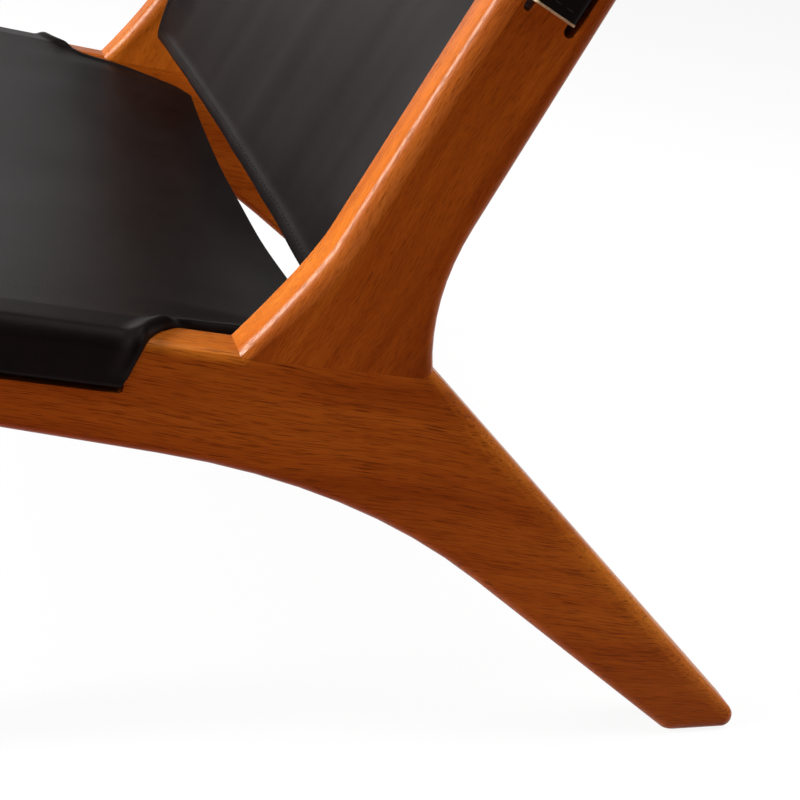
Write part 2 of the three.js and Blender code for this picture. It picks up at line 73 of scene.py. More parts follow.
# The seat sling, measured along the rails from the rear corner.
SEAT_SLOT_DROP = 0.0255
SEAT_REAR = -0.074
SEAT_FRONT = 0.428
SEAT_SAG = 0.0185
SEAT_DROOP = 0.007
SEAT_REAR_INSET = 0.024
FLAP_REAR = 0.050
FLAP_FRONT = 0.344
FLAP_SWEEP = 0.030
FLAP_LEAN = 0.3
FLAP_KNEE = 0.012
FLAP_BOW = 1.4
REAR_NOTCH = FLAP_REAR - FLAP_SWEEP
FRONT_NOTCH = FLAP_FRONT + FLAP_SWEEP
SEAT_WAVE = 0.0011

# Each end of the seat: its edge, the way inward, the notch of the wraps and the taper.
SEAT_ENDS = (
    (SEAT_REAR, 1, REAR_NOTCH, SEAT_REAR_INSET),
    (SEAT_FRONT, -1, FRONT_NOTCH, 0),
)

# The back sling, measured up the posts.
BACK_SLOT_FRONT = 0.0155
BACK_SLOT_REAR = 0.041
BACK_BOTTOM = 0.034
BACK_TOP = 0.478
BACK_SAG = 0.008
STRAP_BOTTOM = 0.220
STRAP_TOP = 0.420
STRAP_RIM = 0.0012
EDGE_CURL = 0.006
CREASE = 0.0016
FINE_CREASE = 0.0004

# Each end of the back in the same way, with the end of the straps and no taper.
BACK_ENDS = (
    (BACK_BOTTOM, 1, STRAP_BOTTOM, 0),
    (BACK_TOP, -1, STRAP_TOP, 0),
)

# How far before a strap the back's turned edge ends.
TURN_STOPS = 0.030

# The turned free edges of both slings, and how the seat hangs behind its wraps.
TURN_THICK = 0.0030
TURN_WIDTH = 0.0040
TURN_FADE = 0.0110
EDGE_DROP = 0.0075
EDGE_PRESS = 0.0004
SIDE_DROP = 0.003
REAR_SAG = 0.22

# Stretches across the seat and behind its wraps over which its form changes.
SEAT_HELD = (PANEL - 0.030, PANEL + 0.012)
ON_RAIL = (PANEL_END, PANEL + 0.010)
SIDE_HANGS = (PANEL - 0.040, PANEL)
BEHIND_WRAP = (-0.006, 0.045)
TURN_FLATTENS = (0.05, 0.10)

# Stretches across and up the back over which its form changes.
BACK_HELD = (PANEL - 0.040, PANEL)
CURL_RISES = (PANEL - 0.075, PANEL)
CURL_STOPS = (PANEL, PANEL + 0.004)
CURL_BEGINS = (BACK_BOTTOM, 0.075)
CURL_FADES = (0.12, STRAP_BOTTOM - 0.012)

# The band beside a panel's side edge that is drawn in at the corners, and the wider one
# in which the seat is shaped by its edge.
EDGE_BAND = 0.052
SHAPED_BAND = 0.09

# How the columns and rows of a cut crowd at edges, notches and rounded corners.
PANEL_COLUMNS = 36
EDGE_COLUMNS = 18
EDGE_CROWD = 1.7
RAIL_COLUMNS = 12
WRAP_BEGINS = 0.0004
LEAST_COLUMN = 0.0003
NOTCH_BAND = 0.020
NOTCH_STEPS = (0.0, 0.0009, 0.0018, 0.0027, 0.0036, 0.0046, 0.0060, 0.0080, 0.0110, 0.0150)
CORNER_ROWS = 8
CORNER_STEPS = (0, 0.0005, 0.0013, 0.0022, 0.0032, 0.0044, 0.0060, 0.0080, 0.0105)
WRAP_EDGE_STEPS = 30

# The materials of the wraps' faces in a sling. The rim of any face takes the next one.
WRAP_HIDE = 2
WRAP_RIM = 3

# The most that two glued faces stand apart in the solids, and how far the gap is closed.
GLUE_REACH = 0.0005
GLUE_CLOSE = 0.96

# How near its guide line a widened round's outline lies, and the narrow margin that is
# pressed together beside it.
OUTLINE_REACH = 0.016
OUTLINE_PAST = 0.001
WIDE_MARGIN = 0.0005

# Distances that count as nothing, and the shading of rounded wood.
TINY = 1e-6
MERGE = 1e-5
SAME_PLACE = 2e-5
JUST_SHORT = 1e-4
SHARP_ANGLE = math.radians(38)
EVEN_WEIGHT = 60

# The mark on a mesh for edges that hands and cloths have polished.
POLISH = "polish"

# Edge stitching, the steps of its rows and the small step that finds its direction.
STITCH_INSET = 0.0058
STITCH_PITCH = 0.0074
STITCH_LENGTH = 0.0044
THREAD = 0.00045
STITCH_STOP = 0.004
END_STEPS = 24
BOW_STEPS = 6
WRAP_STEPS = 14
FEELER = 0.0008

ACROSS = Vector((1, 0, 0))
RAIL_FORWARD = Vector((0, -math.cos(RAIL_SLOPE), math.sin(RAIL_SLOPE)))
RAIL_UP = Vector((0, math.sin(RAIL_SLOPE), math.cos(RAIL_SLOPE)))
POST_UP = Vector((0, math.cos(POST_ANGLE), math.sin(POST_ANGLE)))
POST_BACK = Vector((0, math.sin(POST_ANGLE), -math.cos(POST_ANGLE)))
RAIL_CORNER = Vector((0, CORNER_BACK, CORNER_HEIGHT))
POST_FOOT = RAIL_CORNER + Vector((0, FLARE_OUT, 0))


# Materials

class Tone:
    """A value that changes over a surface. Arithmetic on it adds Math nodes."""

    def __init__(self, finish, socket):
        self.finish = finish
        self.socket = socket

    def math(self, operation, first, second):
        sockets = {0: first, 1: second}
        return self.finish.node("ShaderNodeMath", {"operation": operation}, sockets)

    def __add__(self, other):
        return self.math("ADD", self, other)

    def __radd__(self, other):
        return self.math("ADD", other, self)

    def __sub__(self, other):
        return self.math("SUBTRACT", self, other)

    def __rsub__(self, other):
        return self.math("SUBTRACT", other, self)

    def __mul__(self, other):
        return self.math("MULTIPLY", self, other)


class Finish:
    """One material, built node by node."""

    def __init__(self, name):
        self.material = bpy.data.materials.new(name)
        self.material.use_nodes = True
        self.tree = self.material.node_tree
        self.surface = self.tree.nodes["Principled BSDF"]

    def plug(self, socket, value):
        """Links a tone to a socket, or sets the socket to a plain value."""
        if isinstance(value, Tone):
            self.tree.links.new(value.socket, socket)
        else:
            socket.default_value = value

    def node(self, kind, settings=None, sockets=None, out=0):
        """A new node with its settings and inputs, given as the tone of one of its outputs."""
        made = self.tree.nodes.new(kind)
        for key, value in (settings or {}).items():
            if key == "stops":
                self.set_stops(made.color_ramp, value)
            else:
                setattr(made, key, value)
        for key, value in (sockets or {}).items():
            self.plug(made.inputs[key], value)
        return Tone(self, made.outputs[out])

    def set_stops(self, ramp, stops):
        while len(ramp.elements) < len(stops):
            ramp.elements.new(0.5)
        for element, (place, colour) in zip(ramp.elements, stops):
            element.position = place
            element.color = colour

    def set(self, **values):
        """Sets inputs of the surface, named as they are shown."""
        for key, value in values.items():
            label = key.replace("_", " ").title().replace("Ior", "IOR")
            self.plug(self.surface.inputs[label], value)

    def noise(self, place, scale, detail, roughness=0.5):
        sockets = {"Vector": place, "Scale": scale, "Detail": detail, "Roughness": roughness}
        return self.node("ShaderNodeTexNoise", None, sockets)

    def ramp(self, tone, stops):
        return self.node("ShaderNodeValToRGB", {"stops": stops}, {"Fac": tone})

    def stretch(self, place, scale):
        sockets = {"Vector": place, "Scale": scale}
        return self.node("ShaderNodeMapping", {"vector_type": "POINT"}, sockets)

    def grain(self, place, scale, detail, roughness=0.5):
        """Noise with a scale of its own along each axis."""
        return self.noise(self.stretch(place, scale), 1.0, detail, roughness)

    def mix(self, share, first, second):
        sockets = {0: share, 6: first, 7: second}
        return self.node("ShaderNodeMix", {"data_type": "RGBA"}, sockets, 2)

    def bump(self, height, distance, strength):
        sockets = {"Height": height, "Distance": distance, "Strength": strength}
        return self.node("ShaderNodeBump", None, sockets)

    def vector(self, operation, first, second):
        return self.node("ShaderNodeVectorMath", {"operation": operation}, {0: first, 1: second})

    def sway(self, place, scale, reach):
        """The place moved about a little, so that straight lines wander."""
        sockets = {"Vector": place, "Scale": scale, "Detail": 1.0}
        drift = self.node("ShaderNodeTexNoise", None, sockets, 1)
        drift = self.vector("SUBTRACT", drift, (0.5, 0.5, 0.5))
        return self.vector("ADD", place, self.vector("MULTIPLY", drift, reach))

    def range(self, tone, low, high):
        """Nothing up to the low end, one from the high end on."""
        sockets = {0: tone, 1: low, 2: high, 3: 0.0, 4: 1.0}
        return self.node("ShaderNodeMapRange", {"clamp": True}, sockets)


def grey(level):
    return (level, level, level, 1.0)


def object_place(finish, turn=(0, 0, 0), move=(0, 0, 0)):
    """Object coordinates, turned and moved so that each board has its own grain."""
    raw = finish.node("ShaderNodeTexCoord", None, None, 3)
    sockets = {"Vector": raw, "Rotation": turn, "Location": move}
    return finish.node("ShaderNodeMapping", {"vector_type": "TEXTURE"}, sockets)


def frame_wood(name, turn, move, fleck=1.0, mark=0.70, painted_light_rearward=0.0, shine=0.0):
    """Oiled reddish hardwood with its grain along the turned Y axis.

    A high fleck shortens the grain's lines, and mark is how dark they are. A board may be given
    painted light or painted shade that grows towards the rear of the chair (lighter low on the rear
    legs, darker high on the posts), and shine where its edge is polished.
    """
    wood = Finish(name)
    rearward = wood.node("ShaderNodeSeparateXYZ", None, {0: object_place(wood)}, 1)
    place = object_place(wood, turn, move)
    place = wood.sway(place, 7.0, (0.006, 0.0, 0.012))
    broad = wood.grain(place, (9, 2.2, 16), 2.0)
    bands = wood.grain(place, (60, 2.8, 95), 2.0)
    fibres = wood.grain(place, (900, 22 * fleck, 1300), 3.0, 0.6)
    thin = wood.range(wood.grain(place, (1300, 62 * fleck, 1700), 1.0), 0.54, 0.62)
    deep = wood.range(wood.grain(place, (800, 44 * fleck, 1050), 2.0), 0.59, 0.66)
    pores = thin * 0.55 + deep * 0.60
    tone = broad * 0.48 + bands * 0.34 + fibres * 0.18
    # Painted light and shade: the tone is raised or lowered towards the rear of the chair, so the
    # rear legs come out lighter near the floor and the posts darker higher up.
    tone = tone + wood.range(rearward, 0.13, 0.33) * painted_light_rearward
    colour = wood.ramp(tone, [
        (0.38, (0.222, 0.0450, 0.0031, 1)),
        (0.48, (0.318, 0.0720, 0.0052, 1)),
        (0.56, (0.396, 0.1015, 0.0084, 1)),
        (0.66, (0.492, 0.1475, 0.0138, 1)),
    ])
    colour = wood.mix(pores * mark, colour, (0.096, 0.0162, 0.0017, 1))
    height = fibres * 0.6 - pores * 0.8
    polished = wood.node("ShaderNodeAttribute", {"attribute_name": POLISH}, None, "Fac")
    wood.set(
        base_color=colour,
        roughness=0.26 + fibres * 0.10 + pores * 0.14,
        normal=wood.bump(height, 0.0003, 0.35),
        specular_ior_level=0.11,
        specular_tint=(1.0, 0.68, 0.28, 1),
        coat_weight=polished * (1.0 - pores * 0.8) * shine,
        coat_roughness=0.36,
    )
    return wood.material


def dowel_wood():
    """Pale plain hardwood of the rods and dowels."""
    wood = Finish("dowel_wood")
    place = object_place(wood)
    streaks = wood.grain(place, (420, 30, 60), 3.0)
    colour = wood.ramp(streaks, [
        (0.30, (0.42, 0.265, 0.125, 1)),
        (0.70, (0.60, 0.415, 0.225, 1)),
    ])
    wood.set(
        base_color=colour,
        roughness=0.5 + streaks * 0.2,
        normal=wood.bump(streaks, 0.0002, 0.3),
    )
    return wood.material


def sling_leather():
    """Smooth charcoal leather with a fine grain and a soft sheen."""
    hide = Finish("sling_leather")
    place = object_place(hide)
    cells = hide.node(
        "ShaderNodeTexVoronoi",
        {"feature": "SMOOTH_F1"},
        {"Vector": place, "Scale": 720.0, "Smoothness": 0.35, "Randomness": 1.0},
    )
    pebble = hide.noise(place, 1500.0, 2.0)
    cloud = hide.noise(place, 16.0, 3.0)
    blotch = hide.noise(place, 70.0, 2.0)
    colour = hide.ramp(cloud * 0.6 + blotch * 0.4, [
        (0.34, (0.0036, 0.0026, 0.0025, 1)),
        (0.66, (0.0064, 0.0046, 0.0044, 1)),
    ])
    height = cells * 0.75 + pebble * 0.25
    hide.set(
        base_color=colour,
        roughness=0.36 + cloud * 0.08 + pebble * 0.06,
        normal=hide.bump(height, 0.00020, 0.30),
        specular_ior_level=0.042,
        specular_tint=(1.0, 0.88, 0.87, 1),
    )
    return hide.material


def cut_edge(name, low, high):
    """The cut edge of the leather, burnished or left raw."""
    edge = Finish(name)
    place = object_place(edge)
    fibres = edge.noise(place, 900.0, 3.0)
    edge.set(
        base_color=edge.ramp(fibres, [(0.30, low), (0.70, high)]),
        roughness=0.45 + fibres * 0.25,
        normal=edge.bump(fibres, 0.0002, 0.4),
    )
    return edge.material


def waxed_thread():
    """Dark waxed sewing thread."""
    thread = Finish("waxed_thread")
    place = object_place(thread)
    twist = thread.noise(place, 2600.0, 1.0)
    colour = thread.ramp(twist, [
        (0.3, (0.005, 0.0045, 0.0045, 1)),
        (0.7, (0.014, 0.012, 0.012, 1)),
    ])
    thread.set(
        base_color=colour,
        roughness=0.6 + twist * 0.2,
        normal=thread.bump(twist, 0.0002, 0.5),
        specular_ior_level=0.08,
    )
    return thread.material


# Pieces of wood

def place_piece(name, mesh, replaced=()):
    """A new piece of the chair, in place of the solids that it stands for."""
    piece = bpy.data.objects.new(name, mesh)
    bpy.context.scene.collection.objects.link(piece)
    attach(piece, "root")
    if replaced:
        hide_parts(*replaced)
    return piece


def smooth_faces(mesh):
    for face in mesh.polygons:
        face.use_smooth = True


def merged_copy(node):
    """A copy of a solid's mesh with its facets joined."""
    shape = bmesh.new()
    shape.from_mesh(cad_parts[node].data)
    bmesh.ops.remove_doubles(shape, verts=shape.verts, dist=MERGE)
    return shape


def close_joint(shape, neighbour):
    """Brings a glued face up to the piece it is glued to."""
    other = merged_copy(neighbour)
    surface = BVHTree.FromBMesh(other)
    for vert in shape.verts:
        near = surface.find_nearest(vert.co, GLUE_REACH)[0]
        if near:
            vert.co = vert.co.lerp(near, GLUE_CLOSE)
    other.free()


def nearest_on(line, here):
    """The point of a line of points that is nearest to a place."""
    nearest = line[0]
    for a, b in zip(line, line[1:]):
        way = b - a
        share = min(1.0, max(0.0, (here - a).dot(way) / way.length_squared))
        point = a + way * share
        if (here - point).length < (here - nearest).length:
            nearest = point
    return nearest


def outline_along(shape, start, way, length):
    """The outline's points close to a guide line in the side view, in order."""
    found = {}
    rounds = (INSIDE + EDGE_ROUND, OUTSIDE - EDGE_ROUND)
    for vert in shape.verts:
        inset = min(abs(abs(vert.co.x) - x) for x in rounds)
        place = vert.co.yz
        along = (place - start).dot(way)
        aside = (place - start - way * along).length
        within = -OUTLINE_PAST < along < length + OUTLINE_PAST
        if inset < SAME_PLACE and within and aside < OUTLINE_REACH:
            found[round(along, 4)] = place
    return [found[along] for along in sorted(found)]


def widen_round(shape, start, end, width, lead_in, lead_out, cuts):
    """Draws a rounded edge further onto the faces beside it, along a guide line in the side view.

    It also marks the round as polished, most of all half way round.
    """
    way, length = (end - start).normalized(), (end - start).length
    for share in cuts:
        cut = (0, *start.lerp(end, share))
        everything = [*shape.verts, *shape.edges, *shape.faces]
        bmesh.ops.bisect_plane(shape, geom=everything, dist=TINY, plane_co=cut, plane_no=(0, *way))
    spine = outline_along(shape, start, way, length)
    polish = shape.verts.layers.float.new(POLISH)
    for vert in shape.verts:
        place = vert.co.yz
        inward = place - nearest_on(spine, place)
        reach = inward.length
        down = max(0.0, 1 - reach / EDGE_ROUND)
        vert[polish] = 2 * down * math.sqrt(1 - down * down)
        beside = abs(abs(vert.co.x) - MIDDLE_X) > HALF_THICK - EDGE_ROUND
        if beside and MERGE < reach < width + WIDE_MARGIN:
            wider = reach * width / EDGE_ROUND
            if reach > EDGE_ROUND:
                squeeze = WIDE_MARGIN / (width + WIDE_MARGIN - EDGE_ROUND)
                wider = width + (reach - EDGE_ROUND) * squeeze
            along = (place - start).dot(way)
            share = ease(along, 0, lead_in) * ease(length - along, 0, lead_out)
            inward *= (wider / reach - 1) * share
            vert.co.y += inward.x
            vert.co.z += inward.y


def dress_wood(node, name, finish, neighbour=None, wide_round=None):
    """A merged copy of a frame solid, with smooth rounded edges and crisp cuts."""
    shape = merged_copy(node)
    if neighbour:
        close_joint(shape, neighbour)
    if wide_round:
        widen_round(shape, *wide_round)
    mesh = bpy.data.meshes.new(name)
    shape.to_mesh(mesh)
    shape.free()
    if "custom_normal" in mesh.attributes:
        mesh.attributes.remove(mesh.attributes["custom_normal"])
    mesh.materials.clear()
    mesh.materials.append(finish)
    smooth_faces(mesh)
    mesh.set_sharp_from_angle(angle=SHARP_ANGLE)
    piece = place_piece(name, mesh, [node])
    even = piece.modifiers.new("even_shading", "WEIGHTED_NORMAL")
    even.keep_sharp = True
    even.weight = EVEN_WEIGHT


# Slings

class SlingLine:
    """The middle of a sling's thickness across the chair, from the middle out to one side."""

    def __init__(self, x, level):
        self.points = [(x, level)]

    def line(self, x, level, steps):
        """Straight on to a point."""
        x0, y0 = self.points[-1]
        for i in range(1, steps + 1):
            share = i / steps
            self.points.append((x0 + (x - x0) * share, y0 + (level - y0) * share))

    def turn(self, x, level, radius, start, end, steps):
        """Round a centre, from one angle to another in degrees."""
        for i in range(1, steps + 1):
            angle = math.radians(start + (end - start) * i / steps)
            self.points.append((x + radius * math.cos(angle), level + radius * math.sin(angle)))

    def hem(self, level, down):
        """Out of the slot and once round the rod."""
        start = self.points[-1]
        first = math.radians(HEM_FIRST)
        x = HEM_X + ROD_LOOP * math.cos(first)
        y = level + down * ROD_LOOP * math.sin(first)
        for i in range(1, HEM_STEPS + 1):
            share = i / HEM_STEPS
            rise = ease(share, 0, 1)
            self.points.append((
                start[0] + (x - start[0]) * share,
                start[1] + (y - start[1]) * rise,
            ))
        self.turn(HEM_X, level, ROD_LOOP, down * HEM_FIRST, down * HEM_LAST, HEM_TURN_STEPS)

    def measure(self):
        """Notes how far along the line each point is."""
        self.along = [0.0]
        for a, b in zip(self.points, self.points[1:]):
            self.along.append(self.along[-1] + math.dist(a, b))
        return self

    def at(self, t):
        """The point at a distance from the middle, with its sign for the side."""
        want = min(abs(t), self.along[-1])
        low, high = 0, len(self.along) - 1
        while high - low > 1:
            middle = (low + high) // 2
            if self.along[middle] <= want:
                low = middle
            else:
                high = middle
        share = (want - self.along[low]) / (self.along[high] - self.along[low])
        a, b = self.points[low], self.points[high]
        x = a[0] + (b[0] - a[0]) * share
        return math.copysign(1, t) * x, a[1] + (b[1] - a[1]) * share

    def outward(self, t):
        """The direction away from the frame, square to the line."""
        a, b = self.at(abs(t) - SLOPE_STEP), self.at(abs(t) + SLOPE_STEP)
        along = math.dist(a, b)
        x, level = -(b[1] - a[1]) / along, (b[0] - a[0]) / along
        return math.copysign(1, t) * x, level

    def reach(self, x):
        """The distance along the line at which it first gets to x."""
        for i, point in enumerate(self.points):
            if point[0] >= x:
                a = self.points[i - 1]
                share = (x - a[0]) / (point[0] - a[0])
                return self.along[i - 1] + (self.along[i] - self.along[i - 1]) * share
        return self.along[-1]


def ease(value, low, high):
    """From nothing at the low end to one at the high end, with a soft start and stop."""
    share = min(1.0, max(0.0, (value - low) / (high - low)))
    return share * share * (3 - 2 * share)


def seat_line():
    """Across the sag, over the rail, down its outer face, in through the slot and round the rod."""
    turn = EDGE_ROUND + REST_GAP + LEATHER / 2
    droop = math.atan(2 * SEAT_SAG / INSIDE)
    tangent = INSIDE + EDGE_ROUND - turn * math.sin(droop)
    level = -EDGE_ROUND + turn * math.cos(droop)
    line = SlingLine(0, level - SEAT_SAG)
    for i in range(1, PANEL_STEPS + 1):
        x = tangent * i / PANEL_STEPS
        line.points.append((x, level - SEAT_SAG * (1 - (x / tangent) ** 2)))
    line.turn(INSIDE + EDGE_ROUND, -EDGE_ROUND, turn, 90 + math.degrees(droop), 90, 2)
    line.line(OUTSIDE - EDGE_ROUND, turn - EDGE_ROUND, 5)
    line.turn(OUTSIDE - EDGE_ROUND, -EDGE_ROUND, turn, 90, 0, 10)
    line.line(FACE_X, BEND - SEAT_SLOT_DROP, 5)
    line.turn(FACE_X - BEND, BEND - SEAT_SLOT_DROP, BEND, 0, -90, 8)
    line.line(INSIDE + SLOT_EXIT, -SEAT_SLOT_DROP, 6)
    line.hem(-SEAT_SLOT_DROP, -1)
    return line.measure()


def back_line():
    """Across the sag, out through the post's front slot, in through the rear one, round the rod."""
    line = SlingLine(0, BACK_SLOT_FRONT + BACK_SAG)
    for i in range(1, PANEL_STEPS + 1):
        x = INSIDE * i / PANEL_STEPS
        line.points.append((x, BACK_SLOT_FRONT + BACK_SAG * (1 - (x / INSIDE) ** 2)))
    line.line(FACE_X - BEND, BACK_SLOT_FRONT, 6)
    line.turn(FACE_X - BEND, BACK_SLOT_FRONT + BEND, BEND, -90, 0, 8)
    line.line(FACE_X, BACK_SLOT_REAR - BEND, 5)
    line.turn(FACE_X - BEND, BACK_SLOT_REAR - BEND, BEND, 0, 90, 8)
    line.line(INSIDE + SLOT_EXIT, BACK_SLOT_REAR, 6)
    line.hem(BACK_SLOT_REAR, 1)
    return line.measure()


SEAT_LINE = seat_line()
BACK_LINE = back_line()


def edge_distance(edges, t, s):
    """How far a place in the flat cut is from the nearest free edge."""
    here = Vector((abs(t), s))
    return min((here - nearest_on(edge, here)).length for edge in edges)


def rail_surface(x):
    """The level of the rail's top and of its inner round, which the seat may lie on."""
    inward = INSIDE + EDGE_ROUND - abs(x)
    if inward > EDGE_ROUND:
        return -1.0
    return math.sqrt(EDGE_ROUND ** 2 - max(0.0, inward) ** 2) - EDGE_ROUND


def edge_round(distance):
    """The round of a turned edge: nothing at the very edge, one where it ends."""
    near = 1 - min(1.0, distance / TURN_WIDTH)
    return math.sqrt(1 - near * near)


def turned_edge(distance):
    """How far a turned edge stands out, dying away behind its ridge."""
    return TURN_THICK * edge_round(distance) * (1 - ease(distance, TURN_WIDTH, TURN_FADE))


def seat_point(t, s):
    """A point of the seat sling from its place in the flat cut."""
    x, up = SEAT_LINE.at(t)
    free = 1 - ease(abs(t), *SEAT_HELD)
    behind = FLAP_REAR - s
    past = max(behind, s - FLAP_FRONT, 0) / (FLAP_REAR - SEAT_REAR)
    up -= SEAT_DROOP * past * past * free
    up += SEAT_WAVE * noise.noise(Vector((t * 9, s * 9, 2.0))) * free
    up += up * REAR_SAG * ease(behind, 0, FLAP_REAR - SEAT_REAR) * free
    if abs(t) > PANEL - SHAPED_BAND:
        x, up = seat_edge_point(t, s, x, up)
    return RAIL_CORNER + ACROSS * x + RAIL_FORWARD * s + RAIL_UP * up


def seat_edge_point(t, s, x, up):
    """The same near a side edge, which is turned, hangs beside the rail and lies on it in wraps."""
    behind = FLAP_REAR - s
    distance = edge_distance(SEAT_EDGE, t, s)
    inner = edge_round(distance)
    on_rail = ease(abs(x), *ON_RAIL)
    up -= SIDE_DROP * ease(abs(x), *SIDE_HANGS) * ease(behind, *BEHIND_WRAP) * (1 - on_rail)
    corner = PANEL - (SEAT_REAR_INSET if behind > 0 else 0)
    around = ease(abs(t), corner - PANEL_ROUND, corner - PANEL_ROUND * 0.2)
    up -= EDGE_DROP * (1 - inner) * (1 - on_rail) * around
    over = SEAT_LINE.reach(OUTSIDE)
    beside = 0.5 * (1 - ease(behind, *TURN_FLATTENS))
    lift = turned_edge(distance) * (on_rail + (1 - on_rail) * beside)
    lift -= (LEATHER / 2 + REST_GAP) * (1 - inner) * on_rail
    lift *= 1 - ease(abs(t), over + SEAT_SLOT_DROP * 0.45, over + SEAT_SLOT_DROP * 0.8)
    out = SEAT_LINE.outward(t)
    x += out[0] * lift
    up += out[1] * lift
    if abs(t) < SEAT_LINE.reach(OUTSIDE - EDGE_ROUND):
        up = max(up, rail_surface(x) - EDGE_PRESS + LEATHER / 2 * inner)
    return x, up


def back_point(t, u):
    """A point of the back sling from its place in the flat cut."""
    x, depth = BACK_LINE.at(t)
    free = 1 - ease(abs(t), *BACK_HELD)
    creases = noise.noise(Vector((t * 13, u * 1.6, 7.0))) * CREASE
    creases += noise.noise(Vector((t * 31, u * 3.4, 3.0))) * FINE_CREASE
    depth += creases * free
    beside = ease(abs(t), *CURL_RISES) * (1 - ease(abs(t), *CURL_STOPS))
    low = ease(u, *CURL_BEGINS) * (1 - ease(u, *CURL_FADES))
    depth -= EDGE_CURL * beside * low
    if abs(t) <= PANEL_END:
        depth -= turned_edge(edge_distance(BACK_EDGE, t, u)) * 0.5
    return POST_FOOT + ACROSS * x + POST_UP * u + POST_BACK * depth


def between(first, last, steps):
    """Even steps from the first place up to, but without, the last."""
    return [first + (last - first) * i / steps for i in range(steps)]


def corner_rows(first, last, steps):
    """Rows that crowd towards the first end, where a corner is rounded."""
    return [first + (last - first) * (1 - math.cos(math.pi / 2 * i / steps)) for i in range(steps)]


def half_width(s, plain, edge, away, notch, taper):
    """The panel's half width at a row near one end, with its taper and its rounded corner."""
    past = max(0.0, (notch - s) * away)
    wide = plain - taper * past / abs(notch - edge)
    inner = PANEL_ROUND - (s - edge) * away
    if inner > 0:
        wide -= PANEL_ROUND - math.sqrt(max(0.0, PANEL_ROUND ** 2 - inner ** 2))
    return wide


def sling_columns(line, panel):
    """The columns of the cut on one side, crowded at the panel's edge and where the line bends."""
    columns = between(0, panel - EDGE_BAND, PANEL_COLUMNS)
    for i in range(EDGE_COLUMNS):
        columns.append(panel - EDGE_BAND * (1 - i / EDGE_COLUMNS) ** EDGE_CROWD)
    columns.append(panel)
    over = line.reach(OUTSIDE - EDGE_ROUND)
    wrap = {round(t, 5) for t in line.along if t > panel + WRAP_BEGINS}
    for i in range(2, RAIL_COLUMNS):
        wrap.add(round(panel + (over - panel) * (i / RAIL_COLUMNS) ** 2, 5))
    for t in sorted(wrap):
        if t - columns[-1] > LEAST_COLUMN:
            columns.append(t)
    return columns


class FlatCut:
    """A sling as it is cut from the hide, then bent into its place."""

    def __init__(self, line, rows, wraps, place, bend):
        self.panel = line.reach(PANEL)
        side = sling_columns(line, self.panel)
        self.columns = [-t for t in reversed(side[1:])] + side
        self.rows = rows
        self.bend = bend
        self.shape = bmesh.new()
        self.wide, self.tall = len(self.columns) - 1, len(rows) - 1
        bmesh.ops.create_grid(self.shape, x_segments=self.wide, y_segments=self.tall, size=1)
        self.cut_wraps(*wraps)
        for vert in self.shape.verts:
            t = self.columns[round((vert.co.x + 1) / 2 * self.wide)]
            s = rows[round((vert.co.y + 1) / 2 * self.tall)]
            vert.co = Vector((*place(t, s), 0))
        self.area = sum(face.calc_area() for face in self.shape.faces)
        self.width = 2 * line.along[-1]

    def cut_wraps(self, first, last, rim):
        """Cuts away what lies beside the panel at both ends of the wraps, and marks their rims."""
        outside = []
        for face in self.shape.faces:
            middle = face.calc_center_median()
            column = int((middle.x + 1) / 2 * self.wide)
            row = self.rows[int((middle.y + 1) / 2 * self.tall)]
            if max(abs(t) for t in self.columns[column:column + 2]) > self.panel + TINY:
                at_rim = row < first + rim * 0.5 or row > last - rim * 1.5
                face.material_index = WRAP_RIM if at_rim else WRAP_HIDE
                if not first - TINY < row < last - TINY:
                    outside.append(face)
        bmesh.ops.delete(self.shape, geom=outside, context="FACES")

    def finish(self, name, node, hide, panel_rim, wrap_rim):
        """Bends the cut into place and gives it its thickness and soft edges."""
        for vert in self.shape.verts:
            vert.co = self.bend(vert.co.x, vert.co.y)
        bmesh.ops.recalc_face_normals(self.shape, faces=self.shape.faces)
        mesh = bpy.data.meshes.new(name)
        self.shape.to_mesh(mesh)
        self.shape.free()
        for finish in (hide, panel_rim, hide, wrap_rim, wrap_rim):
            mesh.materials.append(finish)
        smooth_faces(mesh)
        piece = place_piece(name, mesh, [node])
        thick = piece.modifiers.new("thickness", "SOLIDIFY")
        thick.thickness = LEATHER
        thick.offset = 0
        thick.material_offset_rim = 1
        soft = piece.modifiers.new("soft_edge", "BEVEL")
        soft.width = SOFT_EDGE
        soft.segments = 2
        soft.limit_method = "ANGLE"
        soft.angle_limit = SOFT_ANGLE
        return piece


def panel_place(t, s, panel, ends):
    """A place in a panel's cut, drawn in where the panel tapers or a corner is round."""
    wide = min(half_width(s, panel, *end) for end in ends)
    still = panel - EDGE_BAND
    if abs(t) > still:
        t = math.copysign(still + (abs(t) - still) * (wide - still) / (panel - still), t)
    return t, s


def seat_place(t, s):
    """The flat cut of the seat: a tapered panel, and a wrap with leaning edges on each side."""
    panel = SEAT_LINE.reach(PANEL)
    if abs(t) <= panel + TINY:
        return panel_place(t, s, panel, SEAT_ENDS)
    back = wrap_edge(abs(t))
    share = (s - REAR_NOTCH) / (FRONT_NOTCH - REAR_NOTCH)
    rear = REAR_NOTCH + back
    front = FRONT_NOTCH - back
    return t, rear + (front - rear) * share


def back_place(t, u):
    """The flat cut of the back: a panel with rounded corners, and a straight strap on each side."""
    panel = BACK_LINE.reach(PANEL)
    if abs(t) <= panel + TINY:
        return panel_place(t, u, panel, BACK_ENDS)
    return t, u


def wrap_edge(far):
    """How far the wrap's edge has come in from the notch, over the rail top and down the face."""
    panel = SEAT_LINE.reach(PANEL)
    over = SEAT_LINE.reach(OUTSIDE)
    knee = panel + FLAP_KNEE
    rest = max(0.0, over - max(far, panel))
    bow = over - 2 * knee + panel
    share = (over - knee - math.sqrt((over - knee) ** 2 - bow * rest)) / bow
    sweep = FLAP_SWEEP * ((1 - share) ** 2 + FLAP_BOW * share * (1 - share))
    lean = FLAP_LEAN * min(max(0.0, far - over), SEAT_SLOT_DROP)
    return sweep + lean


